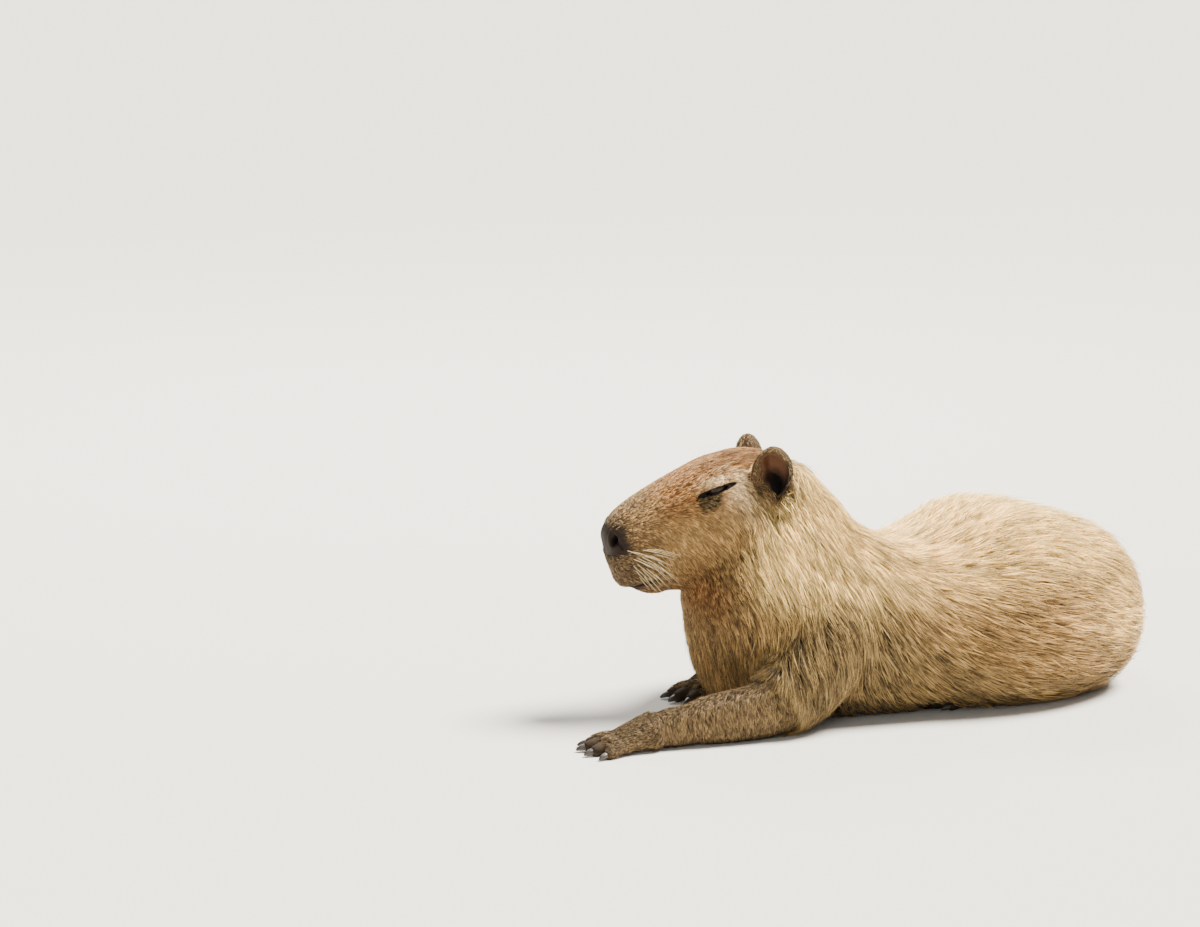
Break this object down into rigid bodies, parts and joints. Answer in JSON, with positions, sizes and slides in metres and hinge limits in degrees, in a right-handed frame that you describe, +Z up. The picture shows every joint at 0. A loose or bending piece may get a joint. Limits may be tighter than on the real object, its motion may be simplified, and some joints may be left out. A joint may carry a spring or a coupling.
{
  "type": "life-size capybara model",
  "caption": "Still, life-size adult capybara lying on its breast with its head raised, as a museum shows; it rests on its own flat underside.",
  "frame": {"origin": "on the floor, on the flat of the belly under the middle of the trunk", "axes": "+Z up, the nose along -X, the animal's left side towards -Y"},
  "size_m": [0.8589, 0.3889, 0.3638],
  "materials": {
    "body_fur": "coarse tan bristle",
    "face_fur": "short russet fur",
    "bare_skin": "dark bare skin",
    "eyeball": "wet",
    "claw": "worn horn"
  },
  "bodies": {
    "root": {"head": "face_fur", "neck": "body_fur", "torso": "body_fur", "rump": "body_fur", "ear_left": "bare_skin", "ear_right": "bare_skin", "eye_left": "eyeball", "eye_right": "eyeball", "foreleg_left": "body_fur", "foreleg_right": "body_fur", "hindleg_left": "body_fur", "hindleg_right": "body_fur", "forefoot_left": "bare_skin", "forefoot_right": "bare_skin", "hindfoot_left": "bare_skin", "hindfoot_right": "bare_skin", "claw_forefoot_left_1": "claw", "claw_forefoot_left_2": "claw", "claw_forefoot_left_3": "claw", "claw_forefoot_left_4": "claw", "claw_forefoot_right_1": "claw", "claw_forefoot_right_2": "claw", "claw_forefoot_right_3": "claw", "claw_forefoot_right_4": "claw", "claw_hindfoot_left_1": "claw", "claw_hindfoot_left_2": "claw", "claw_hindfoot_left_3": "claw", "claw_hindfoot_right_1": "claw", "claw_hindfoot_right_2": "claw", "claw_hindfoot_right_3": "claw"}
  },
  "joints": []
}
